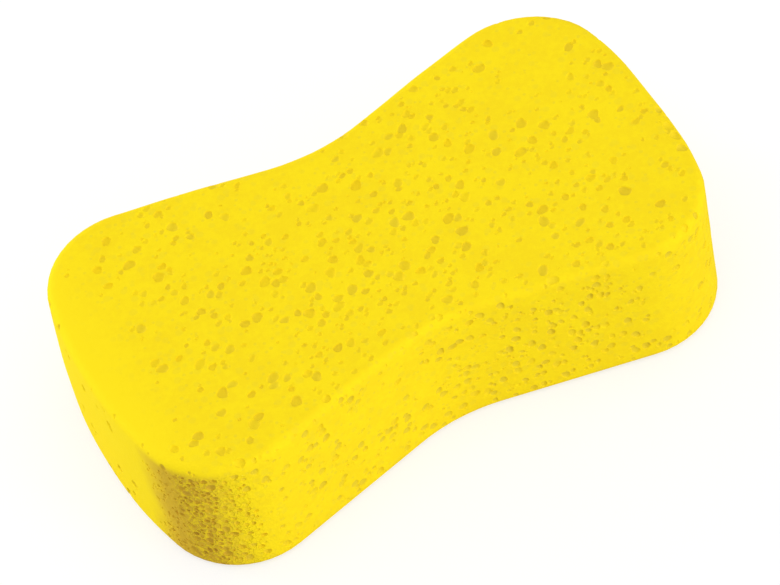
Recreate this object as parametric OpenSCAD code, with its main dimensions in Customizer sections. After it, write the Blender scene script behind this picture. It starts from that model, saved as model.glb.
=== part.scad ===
// Waisted washing sponge, one block of open-celled foam.
// Seen from above it is an hourglass: two bowed ends with broad round corners, and a hollowed waist
// that the hand closes on. It lies on one broad face, with its length along X and its width along Y.
// The origin is the centre of the face that it lies on.

/* [Outline] */
// Length, over the two bowed ends
length = 203; // [190:1:250]
// Width, over the widest part of each end
end_width = 114; // [95:1:140]
// Radius of the four upright corners
corner_radius = 27.5; // [20:0.5:30]
// Radius of the bow of each end
end_radius = 165; // [140:5:400]
// How far the waist is hollowed in on each side, from the width over the ends
waist_depth = 14.5; // [8:0.5:18]
// Radius of the hollow of the waist on each side
waist_radius = 62; // [40:1:70]

/* [Section] */
// Height of the block as it lies
thickness = 51; // [20:1:90]
// Radius of the rounded edge around both broad faces
edge_radius = 3; // [1:0.5:8]

/* [Hidden] */

// Largest turn between neighbouring points of a rounding
arc_step = 7;
// Largest turn on the rounded edges, which are small
edge_step = 18;

// The outline's quarter with positive X and Y is three arcs and a straight flank: the bow of the end
// about bow_centre, the corner inside it, the flank, and the hollow of the waist, whose centre lies
// outside the block. Each runs into the next without a kink.
bow_centre = [length / 2 - end_radius, 0];
corner_y = end_width / 2 - corner_radius;
corner_x = bow_centre.x + sqrt(pow(end_radius - corner_radius, 2) - pow(corner_y, 2));
corner_centre = [corner_x, corner_y];
waist_centre = [0, end_width / 2 - waist_depth + waist_radius];

// Directions that the outline faces, from X: where the bow gives way to the corner, and on the flank
bow_angle = atan2(corner_centre.y, corner_centre.x - bow_centre.x);
to_waist = waist_centre - corner_centre;
flank_angle = atan2(to_waist.y, to_waist.x) - acos((corner_radius + waist_radius) / norm(to_waist));

// Angles from one to another in equal steps, with both ends
function sweep(from, to, largest) =
    let (steps = max(1, ceil(abs(to - from) / largest)))
    [for (i = [0:steps]) from + (to - from) * i / steps];

// Points at those angles on a circle
function on_circle(centre, radius, angles) =
    [for (a = angles) centre + radius * [cos(a), sin(a)]];

// All but the first of a list
function rest(list) = [for (i = [1:len(list) - 1]) list[i]];

// The quarter outline, from the middle of the end to the middle of the waist, drawn in by an inset.
// A point stands at 90 degrees, so that the width over the ends is true.
function quarter(inset) = [
    each on_circle(bow_centre, end_radius - inset, sweep(0, bow_angle, arc_step / 2)),
    each rest(on_circle(corner_centre, corner_radius - inset, sweep(bow_angle, 90, arc_step))),
    each rest(on_circle(corner_centre, corner_radius - inset, sweep(90, flank_angle, arc_step))),
    each on_circle(waist_centre, waist_radius + inset, sweep(180 + flank_angle, 270, arc_step / 2))
];

// The whole outline at one level, mirrored from its quarter, counter-clockwise from the middle of an end
function ring(inset, height) =
    let (q = quarter(inset), last = len(q) - 1)
    [
        for (i = [0:last]) [q[i].x, q[i].y, height],
        for (i = [last - 1:-1:0]) [-q[i].x, q[i].y, height],
        for (i = [1:last]) [-q[i].x, -q[i].y, height],
        for (i = [last - 1:-1:1]) [q[i].x, -q[i].y, height]
    ];

// Insets and heights of the levels, up the rounded lower edge and then the upper one
lower_levels = [
    for (a = sweep(0, 90, edge_step)) [edge_radius * (1 - sin(a)), edge_radius * (1 - cos(a))]
];
levels = [
    each lower_levels,
    for (i = [len(lower_levels) - 1:-1:0]) [lower_levels[i][0], thickness - lower_levels[i][1]]
];

// Walls between the levels, as bands of four-sided faces around the outline
function walls(around, count) = [
    for (level = [0:count - 2], i = [0:around - 1])
        let (next = (i + 1) % around, low = level * around, high = low + around)
        [low + i, high + i, high + next, low + next]
];

// A broad face, as strips across it between points that face each other over the X axis
function broad_face(around, first) = [
    [first, first + 1, first + around - 1],
    for (i = [1:around / 2 - 2]) [first + i, first + i + 1, first + around - i - 1, first + around - i],
    [first + around / 2 - 1, first + around / 2, first + around / 2 + 1]
];

function turned_over(faces) = [for (f = faces) [for (i = [len(f) - 1:-1:0]) f[i]]];

module sponge() {
    around = len(ring(0, 0));
    top = (len(levels) - 1) * around;
    color([0.98, 0.87, 0.13])
        polyhedron(
            points = [for (level = levels) each ring(level[0], level[1])],
            faces = [
                each walls(around, len(levels)),
                each broad_face(around, 0),
                each turned_over(broad_face(around, top))
            ],
            convexity = 3
        );
}

sponge();
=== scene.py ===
import math
import random
from itertools import product

import bmesh
import bpy
import numpy as np
from mathutils import Matrix, Vector, noise
from mathutils.bvhtree import BVHTree
from mathutils.geometry import delaunay_2d_cdt
from mathutils.kdtree import KDTree


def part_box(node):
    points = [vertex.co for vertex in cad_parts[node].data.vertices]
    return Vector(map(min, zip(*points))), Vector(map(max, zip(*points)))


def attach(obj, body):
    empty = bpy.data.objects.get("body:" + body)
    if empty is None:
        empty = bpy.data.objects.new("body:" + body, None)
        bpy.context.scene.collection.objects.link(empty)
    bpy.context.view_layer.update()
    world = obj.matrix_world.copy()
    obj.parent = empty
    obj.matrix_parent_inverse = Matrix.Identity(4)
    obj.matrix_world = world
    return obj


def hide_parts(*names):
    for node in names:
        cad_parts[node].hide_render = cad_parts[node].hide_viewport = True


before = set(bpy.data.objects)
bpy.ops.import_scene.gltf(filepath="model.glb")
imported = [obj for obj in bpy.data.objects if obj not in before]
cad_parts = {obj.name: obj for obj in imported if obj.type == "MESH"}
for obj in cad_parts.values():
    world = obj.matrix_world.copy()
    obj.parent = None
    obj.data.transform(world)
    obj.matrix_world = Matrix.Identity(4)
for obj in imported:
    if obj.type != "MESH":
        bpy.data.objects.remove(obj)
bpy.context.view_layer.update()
low, high = (Vector(corner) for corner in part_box("sponge"))
size = high - low
middle = (low + high) / 2
mmPerM = 1000
cm2PerM2 = 10000
print("frame loaded, sponge", [round(s * mmPerM, 1) for s in size], "mm")


studio = {
    "camera": {
        "azimuth": -18.905,  # degrees round from straight in front
        "elevation": 50.634,
        "roll": -12.568,
        "distance": 1.3545,
        "lens": 197.7,
        "aside": (-0.0003, -0.0038, 0),  # aim, from the middle of the sponge
    },
    # level is what a lamp adds to a white card that faces it
    "lamps": {
        "front_lamp": {"azimuth": 33, "elevation": 8, "level": 0.34, "softness": 20},
        "rear_lamp": {"azimuth": -142, "elevation": 8, "level": 0.45, "softness": 20},
        "top_lamp": {"azimuth": 0, "elevation": 80, "level": 0.25, "softness": 60},
    },
    "fill": 0.66,  # white all round
    "floorColour": 0.75,  # what the floor throws back on the sponge
    "floorSeen": (0.68, 0.35),  # its own white to the camera, and the share of lamp light on top of it
    "floorWidth": 14.0,
    "floorGap": 0.0001,  # between the floor and the sponge
}


class Wire:
    # an output socket of a node tree; sums and products of wires add Math nodes

    def __init__(self, tree, socket=None):
        self.tree = tree
        self.socket = socket

    def node(self, kind, settings=None, sockets=None, out=0):
        made = self.tree.nodes.new(kind)
        for name, value in (settings or {}).items():
            setattr(made, name, value)
        for name, value in (sockets or {}).items():
            if isinstance(value, Wire):
                self.tree.links.new(value.socket, made.inputs[name])
            else:
                made.inputs[name].default_value = value
        return Wire(self.tree, made.outputs[out] if made.outputs else None)

    def maths(self, operation, first, second=0.0):
        return self.node("ShaderNodeMath", {"operation": operation}, {0: first, 1: second})

    def __add__(self, other):
        return self.maths("ADD", self, other)

    def __sub__(self, other):
        return self.maths("SUBTRACT", self, other)

    def __rsub__(self, other):
        return self.maths("SUBTRACT", other, self)

    def __mul__(self, other):
        return self.maths("MULTIPLY", self, other)

    __radd__ = __add__
    __rmul__ = __mul__

    def most(self, other):
        return self.maths("MAXIMUM", self, other)

    def rise(self, start, end):
        # 0 below start, 1 above end, smooth between; falls where start is the higher
        limits = {"Value": self, "From Min": start, "From Max": end}
        return self.node("ShaderNodeMapRange", {"interpolation_type": "SMOOTHSTEP"}, limits)

    def blend(self, first, second):
        # first where this wire is 0, second where it is 1
        return self.node("ShaderNodeMix", {"data_type": "RGBA"}, {0: self, 6: first, 7: second}, 2)


def newMaterial(name):
    material = bpy.data.materials.new(name)
    material.use_nodes = True
    material.node_tree.nodes.clear()
    return material, Wire(material.node_tree)


def addObject(name, data):
    made = bpy.data.objects.new(name, data)
    bpy.context.scene.collection.objects.link(made)
    return made


def heading(azimuth, elevation):
    turn, lift = math.radians(azimuth), math.radians(elevation)
    return Vector((math.sin(turn) * math.cos(lift), -math.cos(turn) * math.cos(lift), math.sin(lift)))


def setCamera(plan):
    back = heading(plan["azimuth"], plan["elevation"])
    right = Vector((0, 0, 1)).cross(back).normalized()
    up = back.cross(right)
    roll = math.radians(plan["roll"])
    side = right * math.cos(roll) + up * math.sin(roll)
    top = up * math.cos(roll) - right * math.sin(roll)
    lens = bpy.data.cameras.new("camera")
    lens.lens = plan["lens"]
    camera = addObject("camera", lens)
    eye = middle + Vector(plan["aside"]) + back * plan["distance"]
    camera.matrix_world = Matrix.Translation(eye) @ Matrix((side, top, back)).transposed().to_4x4()
    bpy.context.scene.camera = camera


def setLamps(plan):
    for name, lamp in plan["lamps"].items():
        light = bpy.data.lights.new(name, "SUN")
        light.energy = lamp["level"] * math.pi
        light.angle = math.radians(lamp["softness"])
        placed = addObject(name, light)
        towards = heading(lamp["azimuth"], lamp["elevation"])
        placed.rotation_euler = towards.to_track_quat("Z", "Y").to_euler()


def seenDirectly(start):
    # 1 for the camera, and for mirror and glass looks at the background
    path = start.node("ShaderNodeLightPath")
    rays = [Wire(start.tree, path.socket.node.outputs[name]) for name in
            ("Is Camera Ray", "Is Glossy Ray", "Is Transmission Ray")]
    return rays[0].most(rays[1]).most(rays[2])


def setWorld(plan):
    world = bpy.data.worlds.new("white_room")
    world.use_nodes = True
    world.node_tree.nodes.clear()
    start = Wire(world.node_tree)
    strength = plan["fill"] + (1 - plan["fill"]) * seenDirectly(start)
    room = start.node("ShaderNodeBackground", None, {"Color": (1, 1, 1, 1), "Strength": strength})
    start.node("ShaderNodeOutputWorld", None, {"Surface": room})
    bpy.context.scene.world = world


def setFloor(plan):
    material, start = newMaterial("pale_floor")
    own, share = plan["floorSeen"]
    plain = {"Roughness": 1.0, "Specular IOR Level": 0.0}
    thrown = start.node("ShaderNodeBsdfPrincipled", None, {
        "Base Color": grey(plan["floorColour"]), **plain})
    shown = start.node("ShaderNodeBsdfPrincipled", None, {
        "Base Color": grey(share), "Emission Color": grey(1.0), "Emission Strength": own, **plain})
    both = start.node("ShaderNodeMixShader", None, {0: seenDirectly(start), 1: thrown, 2: shown})
    start.node("ShaderNodeOutputMaterial", None, {"Surface": both})
    half = plan["floorWidth"] / 2
    height = low.z - plan["floorGap"]
    mesh = bpy.data.meshes.new("floor")
    corners = [(x, y, height) for x, y in ((-half, -half), (half, -half), (half, half), (-half, half))]
    mesh.from_pydata(corners, [], [(0, 1, 2, 3)])
    mesh.materials.append(material)
    addObject("floor", mesh)


def grey(level):
    return (level, level, level, 1)


setCamera(studio["camera"])
setLamps(studio)
setWorld(studio)
setFloor(studio)
bpy.context.scene.view_settings.view_transform = "Standard"
print("studio ready")


sponge = {
    # block, in metres
    "cornerRadius": 0.0275,  # the four upright corners
    "endRadius": 0.165,  # bow of each end
    "waistDepth": 0.0145,  # how far each side is hollowed in
    "waistRadius": 0.062,  # bow of each side at the waist
    "edgeRadius": 0.003,  # rounded edge round both broad faces
    "splay": 0.0003,  # how much wider it stands at the foot
    "cell": 0.0038,  # spacing of points before the pores are cut
    "edgeSteps": 4,  # facets up a rounded edge
    "scatter": (0.2, 0.8),  # where in its cell a point of a broad face lies
    "rimGap": 0.6,  # cells that such a point keeps from the rounded edge
    "waves": ((0.030, 0.00030), (0.009, 0.00010)),  # width and height of the surface's unevenness
    "wavesFull": 0.5,  # share of the height from which the waves have their full height
    # place and reach of swells of the wall, and how far each stands out or in; all places are
    # given as shares: -1 to 1 along the length and the width, 0 to 1 up the height
    "swells": (
        ((-0.96, 0.70, 0.39), 0.044, 0.0011),
        ((-0.41, 0.89, 1), 0.024, 0.0005),
        ((0.19, 0.79, 1), 0.026, -0.0006),
        ((0.77, 0.98, 1), 0.024, -0.0010),
        ((0.97, 0.58, 1), 0.030, 0.0010),
        ((1, -0.05, 1), 0.024, -0.0007),
        ((-0.93, -0.77, 0), 0.030, -0.0005),
    ),
    "sharpAngle": 38,  # edges bent further than this, in degrees, stay crisp
    "seed": 23,

    # pores, in metres
    "poresPerCm2": 4.05,
    "poreTries": 12,  # places tried for each pore that is wanted
    "poreRadius": 0.00121,  # middle size
    "poreSpread": 0.41,  # how much the sizes vary
    "poreLimits": (0.00036, 0.0021),  # smallest and largest radius
    # the wall's pores: the largest, least height above the floor in radii, how many and how deep
    # against the others, and the share with a neighbour run into them
    "wallPores": {"largest": 0.0016, "clear": 2.5, "odds": 1.05, "depth": 0.95, "joined": 0.5},
    "edgePores": 0.6,  # size of the pores on the rounded edges against the others
    "poreDepth": (0.30, 0.60),  # times the radius
    "poreDrift": 0.1,  # how far aside the deepest point lies, times the radius
    "lobes": ((2, 0.17), (3, 0.11), (5, 0.05)),  # waves round a pore's rim and how strong each is
    "lobeShare": (0.3, 1),  # least and most of that strength
    # largest radius, points round, and width and height of the rings of the tool that cuts a pore
    "cutters": (
        (0.0007, 8, ((1.12, 0.4), (0.76, -0.66))),
        (0.0013, 11, ((1.12, 0.4), (0.82, -0.48), (0.52, -0.86))),
        (1.0, 16, ((1.10, 0.4), (0.84, -0.48), (0.56, -0.86))),
    ),
    "lowerCutter": (7, ((1.12, 0.4), (0.76, -0.66))),  # for the face it lies on
    "sliver": 1e-7,  # edges left shorter than this are closed up
    "odds": (0.30, 0.36),  # chance of a pore, and how much that swings from patch to patch
    "patchWidth": 0.020,  # width of those patches
    # place and reach of larger patches, and how many times the pores each has
    "patches": (
        ((0.22, -0.79, 0.27), 0.034, 3.2),
        ((0.77, -0.67, 0.49), 0.030, 0.35),
        ((0.69, 0.84, 0.98), 0.034, 0.40),
        ((0, -0.09, 1), 0.045, 1.35),
        ((-1, 0.04, 0.49), 0.052, 0.06),
        ((-0.89, -0.84, 0.5), 0.032, 0.10),
    ),
    "joined": 0.30,  # share of the other pores with a neighbour run into them
    "joinedSize": (0.55, 0.90),  # of the neighbour, against the pore it runs into
    "joinedGap": (0.75, 0.95),  # between the two middles, against the two radii
    "spacing": 1.05,  # least gap between two middles, against the two radii
    "cutSpacing": 1.45,  # the same, for pores that are cut at once
    "cubeWidth": 3,  # cubes that pores are sorted into, against the largest radius
    # nearly closed skin at the left end of the upper face
    "calmEnd": {"width": 0.024, "fewest": 0.03, "starts": 0.3, "smallest": 0.55},
    # closely pored corner: coarse to the right, fine to the left
    "worn": (
        # tone: how many times as strong the painted shade in these pores is
        {"place": (-0.855, -0.905, 0.5), "width": 0.0104, "pores": 260, "radius": 0.00088, "tone": 1.6},
        {"place": (-0.943, -0.720, 0.5), "width": 0.0130, "pores": 260, "radius": 0.00056, "tone": 1.4},
    ),
    "wornPore": {"heights": (0.09, 0.92), "spread": 0.30, "depth": 1.6, "spacing": 0.95},

    # finish, in millimetres where nothing else is said
    "skin": (0.967, 0.748, 0.009, 1),
    "mottled": (0.938, 0.706, 0.010, 1),
    "highlight": (0.985, 0.766, 0.010, 1),  # painted highlight: on the ridges, and on the closed skin of the left end
    # pore: painted shade inside the pores, darkest where a pore is deep
    "pore": (0.800, 0.616, 0.030, 1),
    "soiled": (0.690, 0.455, 0.029, 1),  # painted shade at one corner, darker and browner
    "shadedPit": (0.620, 0.395, 0.038, 1),  # painted shade in the pores of that corner, darker still
    "poreShadeStrength": (0.18, 0.79),  # faintest and strongest painted shade of a pore, drawn at random for each
    "wallPoreShade": 1.9,  # how many times as strong the painted shade is in pores away from the upper face
    "poreShade": (0.0, 0.55),  # depths over which a pore darkens to its full painted shade
    "mottle": {"patch": 11.1, "grain": 1.92, "mix": (0.5, 0.5), "limits": (0.38, 0.62)},
    "closed": (0.002, 0.026),  # metres from the left end over which specks set in and the painted highlight fades out
    # spacing and width of pinholes and faint spots, painted as shade of pores too small to cut, and how dark
    # they are
    "specks": ((3.1, 0.90, 0.42), (4.9, 1.30, 0.24), (4.7, 1.75, 0.26)),
    "speckEdge": {"ragged": 0.3, "more": 0.1, "inner": 0.7, "dent": -0.08},
    "nets": ((1.9, 0.07), (0.8, 0.04)),  # width and height of the net of cell walls
    "cornerPaintTop": (0.0012, 0.0050),  # metres below the upper face where the corner's painted shade and ridges set in
    "soil": {"place": (-0.925, -0.781, 0.5), "reach": (0.0205, 0.0045), "stray": 0.010},  # in metres
    "ridges": {
        "place": (-0.853, -0.909, 0.5),
        "reach": (0.0150, 0.0078),  # in metres, as is the next
        "roughReach": (0.024, 0.012),
        "rougher": 2.0,
        "width": 2.4,
        "bend": (3.33, 0.004),  # width, and metres aside
        "line": (0.17, 0.03),  # distance from its middle at which a ridge fades out, and at which it is full
        "outside": (0.15, 0.02),  # depths; a ridge stays out of the pores
        # how far the ridges are painted toward the highlight colour, a painted highlight
        "colour": 0.55,
        "height": 0.2,
    },
    "bumpHeight": 0.001,  # metres that a relief of 1 stands for
    "roughness": (0.84, 0.14),  # least, and what the grain and the pores add
    "shine": 0.08,  # low, as dry foam has hardly any

    # map for the baked finish
    "mapGap": 0.003,  # metres between the parts of the map
    "mapEdge": 0.004,  # margin round the map, as a share of it
    "mapBatch": 4000,  # points worked out at once
}
flatFace = 0.7  # a broad face's direction is at least this upright
wallFace = 0.15  # and the wall's at most this
samePoint = 1e-9  # points of a broad face nearer than this are one
insideOnly = 1  # only the triangles within the rim are kept
noiseMiddle = 0.5  # of what a noise texture gives


def placeAt(shares):
    along, across, up = shares
    return Vector((middle.x + along * size.x / 2, middle.y + across * size.y / 2, low.z + up * size.z))


def quarterOutline(form):
    # centre, radius and facing of points from the middle of an end to the middle of the waist
    endR, cornerR, waistR = form["endRadius"], form["cornerRadius"], form["waistRadius"]
    endX = size.x / 2 - endR
    cornerY = size.y / 2 - cornerR
    cornerX = endX + math.sqrt((endR - cornerR) ** 2 - cornerY**2)
    waistY = size.y / 2 - form["waistDepth"] + waistR
    reach = math.hypot(cornerX, waistY - cornerY)
    endTurn = math.atan2(cornerY, cornerX - endX)
    flankTurn = math.atan2(waistY - cornerY, -cornerX) - math.acos((cornerR + waistR) / reach)
    flank = math.sqrt(reach**2 - (cornerR + waistR) ** 2)
    end, corner, waist = (endX, 0, endR), (cornerX, cornerY, cornerR), (0, waistY, -waistR)
    stretches = (
        (end, end, 0, endTurn, endR * endTurn),
        (corner, corner, endTurn, flankTurn, cornerR * (flankTurn - endTurn)),
        (corner, waist, flankTurn, flankTurn, flank),
        (waist, waist, flankTurn, math.pi / 2, waistR * (flankTurn - math.pi / 2)),
    )
    points = []
    for start, stop, turn, lastTurn, run in stretches:
        steps = max(1, round(run / form["cell"]))
        for i in range(steps):
            t = i / steps
            centre = (a + (b - a) * t for a, b in zip(start, stop))
            points.append((*centre, turn + (lastTurn - turn) * t))
    points.append((*waist, math.pi / 2))
    return points


def wholeOutline(form):
    quarter = quarterOutline(form)
    left = [(-x, y, r, math.pi - turn) for x, y, r, turn in reversed(quarter[:-1])]
    leftFront = [(-x, -y, r, math.pi + turn) for x, y, r, turn in quarter[1:]]
    rightFront = [(x, -y, r, 2 * math.pi - turn) for x, y, r, turn in reversed(quarter[1:-1])]
    return quarter + left + leftFront + rightFront


def setIn(outline, inset):
    # the outline's points, moved inwards
    points = []
    for x, y, radius, turn in outline:
        reach = radius - inset
        points.append(Vector((x + reach * math.cos(turn), y + reach * math.sin(turn))))
    return points


def sections(form):
    # inset and height, up the lower edge, the wall and the upper edge
    edge, steps = form["edgeRadius"], form["edgeSteps"]
    turns = [math.pi / 2 * i / steps for i in range(steps + 1)]
    lower = [(edge * (1 - math.sin(turn)), edge * (1 - math.cos(turn))) for turn in turns]
    rows = round((size.z - 2 * edge) / form["cell"])
    wall = [(0, edge + (size.z - 2 * edge) * i / rows) for i in range(1, rows)]
    upper = [(inset, size.z - height) for inset, height in reversed(lower)]
    return lower + wall + upper


def isInside(spot, loop):
    inside = False
    for a, b in zip(loop, loop[1:] + loop[:1]):
        crosses = (a.y > spot.y) != (b.y > spot.y)
        if crosses and spot.x < a.x + (b.x - a.x) * (spot.y - a.y) / (b.y - a.y):
            inside = not inside
    return inside


def broadFace(outline, form, rng):
    # points and triangles inside the rounded edge
    cell = form["cell"]
    rim = setIn(outline, form["edgeRadius"])
    fence = setIn(outline, form["edgeRadius"] + cell * form["rimGap"])
    spots = []
    for i in range(int(size.x / cell)):
        for j in range(int(size.y / cell)):
            x = (i + rng.uniform(*form["scatter"])) * cell - size.x / 2
            y = (j + rng.uniform(*form["scatter"])) * cell - size.y / 2
            spot = Vector((x, y))
            if isInside(spot, fence):
                spots.append(spot)
    found = delaunay_2d_cdt(rim + spots, [], [list(range(len(rim)))], insideOnly, samePoint)
    return found[0][len(rim):], found[2]


def plainBlock(outline, form, rng):
    levels = sections(form)
    around = len(outline)
    points = []
    for inset, height in levels:
        splay = form["splay"] * (1 - height / size.z)
        points += [(*spot, height) for spot in setIn(outline, inset - splay)]
    faces = []
    for start in range(0, around * (len(levels) - 1), around):
        for i in range(around):
            j = (i + 1) % around
            faces.append((start + i, start + j, start + around + j, start + around + i))
    spots, triangles = broadFace(outline, form, rng)
    for rim, height, order in ((0, 0, -1), (around * (len(levels) - 1), size.z, 1)):
        inner = len(points) - around
        points += [(*spot, height) for spot in spots]
        for triangle in triangles:
            faces.append(tuple(k + (rim if k < around else inner) for k in triangle)[::order])
    mesh = bpy.data.meshes.new("plain_block")
    mesh.from_pydata(points, [], faces)
    mesh.transform(Matrix.Translation((middle.x, middle.y, low.z)))
    return mesh


def nearness(place, shares, reach):
    # 1 at the place with these shares, 0 from its reach outwards
    return max(0, 1 - ((place - placeAt(shares)).length / reach) ** 2)


def makeUneven(mesh, form):
    # shallow waves, fading out towards the face it lies on, and swells of the wall
    fade = size.z * form["wavesFull"]
    shifts = []
    for vertex in mesh.vertices:
        wave = sum(noise.noise(vertex.co / width) * height for width, height in form["waves"])
        swell = sum(push * nearness(vertex.co, shares, reach) ** 2
                    for shares, reach, push in form["swells"])
        outward = Vector((vertex.normal.x, vertex.normal.y, 0))
        shifts.append(vertex.normal * wave * min(1, (vertex.co.z - low.z) / fade) + outward * swell)
    for vertex, shift in zip(mesh.vertices, shifts):
        vertex.co += shift


class PoreGrid:
    # pores sorted into cubes, to find the neighbours of a place

    def __init__(self, form):
        self.cell = form["cubeWidth"] * form["poreLimits"][1]
        self.cubes = {}

    def cube(self, pore):
        return tuple(math.floor(c / self.cell) for c in pore["place"])

    def add(self, pore):
        self.cubes.setdefault(self.cube(pore), []).append(pore)

    def isCrowded(self, pore, factor):
        # whether another pore comes closer than factor times the two radii
        x, y, z = self.cube(pore)
        for cube in product((x - 1, x, x + 1), (y - 1, y, y + 1), (z - 1, z, z + 1)):
            for other in self.cubes.get(cube, ()):
                gap = (other["place"] - pore["place"]).length
                if gap < factor * (other["radius"] + pore["radius"]):
                    return True
        return False


def spreadOver(mesh, count, rng):
    # random places on the surface and the way it faces there
    mesh.calc_loop_triangles()
    triangles = [t.vertices for t in mesh.loop_triangles]
    weights = [t.area for t in mesh.loop_triangles]
    for corners in rng.choices(triangles, weights, k=count):
        a, b = sorted((rng.random(), rng.random()))
        shares = (a, b - a, 1 - b)
        place = sum((mesh.vertices[i].co * s for i, s in zip(corners, shares)), Vector())
        facing = sum((mesh.vertices[i].normal * s for i, s in zip(corners, shares)), Vector())
        yield place, facing.normalized()


def fitPore(place, facing, radius, form):
    # a pore for this place, and its odds there
    depth, joined = 1, form["joined"]
    level, swing = form["odds"]
    odds = level + swing * noise.noise(place / form["patchWidth"])
    for shares, reach, times in form["patches"]:
        odds *= 1 + (times - 1) * nearness(place, shares, reach)
    if facing.z > flatFace:
        calm = form["calmEnd"]
        fromEnd = (place.x - low.x) / calm["width"]
        odds *= min(1, max(calm["fewest"], fromEnd - calm["starts"]))
        radius *= min(1, calm["smallest"] + (1 - calm["smallest"]) * fromEnd)
    elif abs(facing.z) > wallFace:
        radius *= form["edgePores"]
    else:
        wall = form["wallPores"]
        odds *= wall["odds"]
        depth, joined = wall["depth"], wall["joined"]
        radius = min(radius, wall["largest"], (place.z - low.z) / wall["clear"])
    return odds, {"place": place, "facing": facing, "radius": radius, "depth": depth, "joined": joined}


def joinedPore(pore, form, rng):
    # a smaller pore that runs into this one
    radius = pore["radius"] * rng.uniform(*form["joinedSize"])
    side = pore["facing"].orthogonal().normalized()
    side.rotate(Matrix.Rotation(rng.uniform(0, 2 * math.pi), 3, pore["facing"]))
    place = pore["place"] + side * (pore["radius"] + radius) * rng.uniform(*form["joinedGap"])
    return {**pore, "place": place, "radius": radius}


def wornPores(worn, skin, outline, form, rng):
    # extra small pores on the wall round a place
    kind = form["wornPore"]
    ring = setIn(outline, 0)
    centre = (placeAt(worn["place"]) - middle).xy
    near = [i for i, p in enumerate(ring) if (p - centre).length < worn["width"]]
    for _ in range(worn["pores"]):
        i = rng.choice(near)
        share = rng.random()
        spot = ring[i].lerp(ring[(i + 1) % len(ring)], share)
        along = (ring[(i + 1) % len(ring)] - ring[i]).normalized()
        height = low.z + size.z * rng.uniform(*kind["heights"])
        place = skin.find_nearest(Vector((spot.x + middle.x, spot.y + middle.y, height)))[0]
        pore = {"place": place, "facing": Vector((along.y, -along.x, 0))}
        pore["radius"] = worn["radius"] * math.exp(rng.gauss(0, kind["spread"]))
        yield {**pore, "tone": worn["tone"], "depth": kind["depth"]}


def choosePores(mesh, skin, outline, form, rng):
    area = sum(face.area for face in mesh.polygons) * cm2PerM2
    wanted = round(area * form["poresPerCm2"])
    smallest, largest = form["poreLimits"]
    grid, pores = PoreGrid(form), []
    for place, facing in spreadOver(mesh, wanted * form["poreTries"], rng):
        if len(pores) >= wanted:
            break
        radius = form["poreRadius"] * math.exp(rng.gauss(0, form["poreSpread"]))
        odds, pore = fitPore(place, facing, min(max(radius, smallest), largest), form)
        if rng.random() > odds or grid.isCrowded(pore, form["spacing"]):
            continue
        grid.add(pore)
        pores.append(pore)
        if rng.random() < pore["joined"]:
            pores.append(joinedPore(pore, form, rng))
            grid.add(pores[-1])
    for worn in form["worn"]:
        for pore in wornPores(worn, skin, outline, form, rng):
            if not grid.isCrowded(pore, form["wornPore"]["spacing"]):
                grid.add(pore)
                pores.append(pore)
    return pores


def poreCutter(pore, form, rng):
    # a closed lump: an irregular bowl with a lid above the surface
    place, facing, radius = pore["place"], pore["facing"], pore["radius"]
    around, rings = next((around, rings) for limit, around, rings in form["cutters"] if radius < limit)
    if facing.z < -flatFace:
        around, rings = form["lowerCutter"]
    side = facing.orthogonal().normalized()
    across = facing.cross(side)
    lobes = []
    for waves, strength in form["lobes"]:
        lobes.append((waves, rng.uniform(*form["lobeShare"]) * strength, rng.uniform(0, 2 * math.pi)))
    depth = radius * rng.uniform(*form["poreDepth"]) * pore["depth"]
    most = form["poreDrift"] * radius
    drift = side * rng.uniform(-most, most) + across * rng.uniform(-most, most)
    points = []
    for width, lift in rings:
        for i in range(around):
            turn = 2 * math.pi * i / around
            bulge = sum(strength * math.cos(waves * turn + phase) for waves, strength, phase in lobes)
            reach = radius * width * (1 + bulge)
            level = facing * depth * lift - drift * min(lift, 0)
            spot = place + side * reach * math.cos(turn) + across * reach * math.sin(turn)
            points.append(spot + level)
    points.append(place - facing * depth + drift)
    faces = [tuple(range(around))]
    for start in range(0, around * (len(rings) - 1), around):
        for i in range(around):
            j = (i + 1) % around
            faces.append((start + i, start + around + i, start + around + j, start + j))
    start = around * (len(rings) - 1)
    faces += [(start + i, len(points) - 1, start + (i + 1) % around) for i in range(around)]
    return points, faces


def inTurns(pores, form):
    # lists of pores in which none touches another, as each list is cut at once
    turns = []
    for pore in pores:
        for members, grid in turns:
            if not grid.isCrowded(pore, form["cutSpacing"]):
                break
        else:
            members, grid = [], PoreGrid(form)
            turns.append((members, grid))
        members.append(pore)
        grid.add(pore)
    return [members for members, grid in turns]


def cutPores(piece, pores, form, rng):
    for members in inTurns(pores, form):
        points, faces = [], []
        for pore in members:
            cutterPoints, cutterFaces = poreCutter(pore, form, rng)
            faces += [tuple(k + len(points) for k in face) for face in cutterFaces]
            points += cutterPoints
        mesh = bpy.data.meshes.new("pore_cutter")
        mesh.from_pydata(points, [], faces)
        cutter = addObject("pore_cutter", mesh)
        cut = piece.modifiers.new("pores", "BOOLEAN")
        cut.operation = "DIFFERENCE"
        cut.solver = "MANIFOLD"
        cut.object = cutter
        graph = bpy.context.evaluated_depsgraph_get()
        piece.data = bpy.data.meshes.new_from_object(piece.evaluated_get(graph))
        piece.modifiers.clear()
        bpy.data.objects.remove(cutter)
        print("pores", len(members), "cut, faces", len(piece.data.polygons))


def keepWhole(mesh, form):
    # closes up slivers, and drops the crumbs that pores have cut loose
    solid = bmesh.new()
    solid.from_mesh(mesh)
    bmesh.ops.dissolve_degenerate(solid, dist=form["sliver"], edges=solid.edges)
    reached, pieces = set(), []
    for start in solid.verts:
        if start in reached:
            continue
        reached.add(start)
        piece = [start]
        for vertex in piece:
            for edge in vertex.link_edges:
                other = edge.other_vert(vertex)
                if other not in reached:
                    reached.add(other)
                    piece.append(other)
        pieces.append(piece)
    pieces.sort(key=len)
    crumbs = [vertex for piece in pieces[:-1] for vertex in piece]
    bmesh.ops.delete(solid, geom=crumbs, context="VERTS")
    solid.to_mesh(mesh)
    solid.free()
    print("crumbs dropped", len(pieces) - 1)


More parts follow.
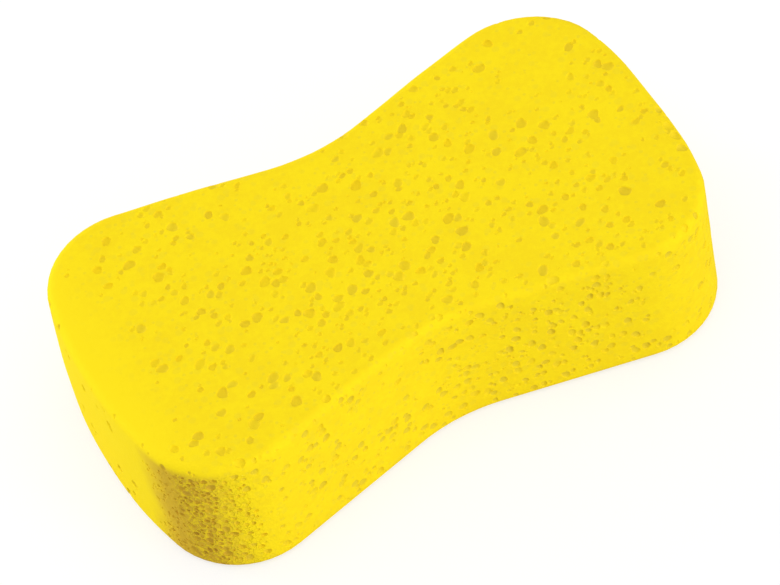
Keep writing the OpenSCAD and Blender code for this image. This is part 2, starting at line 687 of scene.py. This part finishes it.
def measurePores(mesh, skin, pores, form, rng):
    # each point's depth below the unbroken surface, in millimetres, and how strong the painted shade
    # of its pore is
    depth = mesh.attributes.new("poreDepth", "FLOAT", "POINT")
    depth.data.foreach_set("value", [skin.find_nearest(v.co)[3] * mmPerM for v in mesh.vertices])
    tree = KDTree(len(pores))
    tones = []
    for number, pore in enumerate(pores):
        tree.insert(pore["place"], number)
        usual = 1 if pore["facing"].z > flatFace else form["wallPoreShade"]
        tones.append(rng.uniform(*form["poreShadeStrength"]) * pore.get("tone", usual))
    tree.balance()
    tone = mesh.attributes.new("poreShadeStrength", "FLOAT", "POINT")
    tone.data.foreach_set("value", [tones[tree.find(v.co)[1]] for v in mesh.vertices])


def layOut(mesh, skin, outline, form):
    # map for the baked finish: both broad faces in plan, the wall unrolled in three strips
    wide, deep, tall, gap, batch = size.x, size.y, size.z, form["mapGap"], form["mapBatch"]
    ring = np.array([tuple(p) for p in setIn(outline, 0)])
    steps = np.roll(ring, -1, 0) - ring
    lengths = np.hypot(*steps.T)
    begins = np.concatenate(([0], np.cumsum(lengths)))
    whole = begins[-1]
    count = len(mesh.vertices)
    places = np.empty(count * 3)
    mesh.vertices.foreach_get("co", places)
    places = places.reshape(-1, 3) - (middle.x, middle.y, low.z)
    along = np.empty(count)
    for first in range(0, count, batch):
        plan = places[first:first + batch, None, :2] - ring[None]
        share = np.clip((plan * steps).sum(2) / lengths**2, 0, 1)
        away = np.hypot(*np.moveaxis(plan - share[..., None] * steps, 2, 0))
        nearest = away.argmin(1)
        past = share[np.arange(len(nearest)), nearest] * lengths[nearest]
        along[first:first + batch] = begins[nearest] + past
    tallStrip = 2 * deep + gap
    shortStrip = (whole - tallStrip) / 2
    # start, corner on the map, and which way the strip's length and height run there
    strips = (
        (0, (wide + gap, 0), (0, 1), (1, 0)),
        (tallStrip, (0, 2 * (deep + gap)), (1, 0), (0, 1)),
        (tallStrip + shortStrip, (0, 2 * (deep + gap) + tall + gap), (1, 0), (0, 1)),
    )
    corners = []
    for face in mesh.polygons:
        upright = skin.find_nearest(face.center)[1].z
        if abs(upright) > flatFace:
            start, order = (deep / 2, 1) if upright > 0 else (deep + gap + deep / 2, -1)
            corners += [(places[v][0] + wide / 2, start + order * places[v][1]) for v in face.vertices]
        else:
            centre = along[face.vertices[0]]
            strip = next(strip for strip in reversed(strips) if centre >= strip[0])
            start, (x, y), (alongX, alongY), (upX, upY) = strip
            for v in face.vertices:
                run = (along[v] - centre + whole / 2) % whole - whole / 2 + centre - start
                up = places[v][2]
                corners.append((x + run * alongX + up * upX, y + run * alongY + up * upY))
    flat = np.array(corners)
    flat -= flat.min(0)
    flat = flat / flat.max(0) * (1 - 2 * form["mapEdge"]) + form["mapEdge"]
    mesh.uv_layers.new(name="OFBake").uv.foreach_set("vector", flat.ravel())


def smoothShade(mesh, angle):
    mesh.shade_smooth()
    mesh.set_sharp_from_angle(angle=math.radians(angle))


def noiseOver(place, width, out="Fac"):
    return place.node("ShaderNodeTexNoise", None, {"Vector": place, "Scale": mmPerM / width}, out)


def cellsOver(place, width, feature="F1"):
    sockets = {"Vector": place, "Scale": mmPerM / width}
    return place.node("ShaderNodeTexVoronoi", {"feature": feature}, sockets)


def awayFrom(place, shares):
    # distance in plan
    centre = (*placeAt(shares).xy, 0)
    flat = place.node("ShaderNodeVectorMath", {"operation": "MULTIPLY"}, {0: place, 1: (1, 1, 0)})
    return flat.node("ShaderNodeVectorMath", {"operation": "DISTANCE"}, {0: flat, 1: centre}, "Value")


def ridgeLines(place, ridges):
    # a net of crooked lines
    width, aside = ridges["bend"]
    bent = place.node("ShaderNodeVectorMath", {"operation": "MULTIPLY_ADD"},
                      {0: noiseOver(place, width, "Color"), 1: (aside, aside, aside), 2: place})
    return cellsOver(bent, ridges["width"], "DISTANCE_TO_EDGE").rise(*ridges["line"])


def foamMaterial(look):
    material, start = newMaterial("yellow_foam")
    place = start.node("ShaderNodeTexCoord", out="Object")
    depth = start.node("ShaderNodeAttribute", {"attribute_name": "poreDepth"}, out="Fac")
    tone = start.node("ShaderNodeAttribute", {"attribute_name": "poreShadeStrength"}, out="Fac")
    fromEnd, height = (place.node("ShaderNodeSeparateXYZ", None, {0: place}, axis) for axis in "XZ")
    mottle, edge, soil, ridges = look["mottle"], look["speckEdge"], look["soil"], look["ridges"]

    patches = noiseOver(place, mottle["patch"])
    grain = noiseOver(place, mottle["grain"])
    pored = fromEnd.rise(*(low.x + reach for reach in look["closed"]))
    coarse, fine = mottle["mix"]
    colour = (coarse * patches + fine * grain).rise(*mottle["limits"])
    colour = colour.blend(look["skin"], look["mottled"])
    # painted highlight: the left end is painted lighter than the rest of the skin
    colour = pored.blend(look["highlight"], colour)

    # painted shade in the pores: darker with depth, and stronger in some pores than others
    shade = depth.rise(*look["poreShade"]) * tone
    relief = 0.0
    # pinholes and faint spots: painted shade, with a slight dent
    for spacing, width, dark in look["specks"]:
        rim = width / spacing + edge["more"]
        specks = (cellsOver(place, spacing) + edge["ragged"] * grain).rise(rim, rim * edge["inner"])
        specks = specks * dark * pored
        shade = shade.most(specks)
        relief = specks * edge["dent"] + relief

    # the front-left corner: painted shade, darker and browner, with ridges painted lighter
    onWall = height.rise(*(high.z - drop for drop in look["cornerPaintTop"]))
    away = awayFrom(place, soil["place"]) + (patches - noiseMiddle) * soil["stray"]
    soiled = away.rise(*soil["reach"]) * onWall
    away = awayFrom(place, ridges["place"])
    ridge = ridgeLines(place, ridges) * away.rise(*ridges["reach"])
    ridge = ridge * depth.rise(*ridges["outside"]) * onWall
    # painted shade at the front-left corner, darker and browner
    colour = soiled.blend(colour, look["soiled"])
    # painted highlight on the ridges, as if they caught the light; their relief is real bump
    colour = (ridge * ridges["colour"]).blend(colour, look["highlight"])
    # pores take their painted shade, darker where the corner's painted shade lies
    colour = shade.blend(colour, soiled.blend(look["pore"], look["shadedPit"]))

    for width, rise in look["nets"]:
        relief = cellsOver(place, width) * rise + relief
    rougher = away.rise(*ridges["roughReach"]) * onWall * ridges["rougher"] + 1
    relief = relief * rougher + ridge * ridges["height"]
    bump = start.node("ShaderNodeBump", None, {
        "Height": relief, "Distance": look["bumpHeight"], "Strength": 1.0})
    least, more = look["roughness"]
    shader = start.node("ShaderNodeBsdfPrincipled", None, {
        "Base Color": colour, "Roughness": least + more * grain.most(shade),
        "Specular IOR Level": look["shine"], "Normal": bump})
    start.node("ShaderNodeOutputMaterial", None, {"Surface": shader})
    return material


rng = random.Random(sponge["seed"])
outline = wholeOutline(sponge)
block = plainBlock(outline, sponge, rng)
makeUneven(block, sponge)
print("block", len(block.polygons), "faces")

foamBlock = addObject("foam_block", block)
bpy.context.view_layer.update()
skin = BVHTree.FromObject(foamBlock, bpy.context.evaluated_depsgraph_get())
pores = choosePores(block, skin, outline, sponge, rng)
cutPores(foamBlock, pores, sponge, rng)
keepWhole(foamBlock.data, sponge)
measurePores(foamBlock.data, skin, pores, sponge, rng)
layOut(foamBlock.data, skin, outline, sponge)
smoothShade(foamBlock.data, sponge["sharpAngle"])
foamBlock.data.calc_loop_triangles()
print("sponge cut:", len(pores), "pores,", len(foamBlock.data.loop_triangles), "triangles")

foamBlock.data.materials.clear()  # the cutting leaves empty slots
foamBlock.data.materials.append(foamMaterial(sponge))
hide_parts("sponge")
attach(foamBlock, "root")
print("finish on")
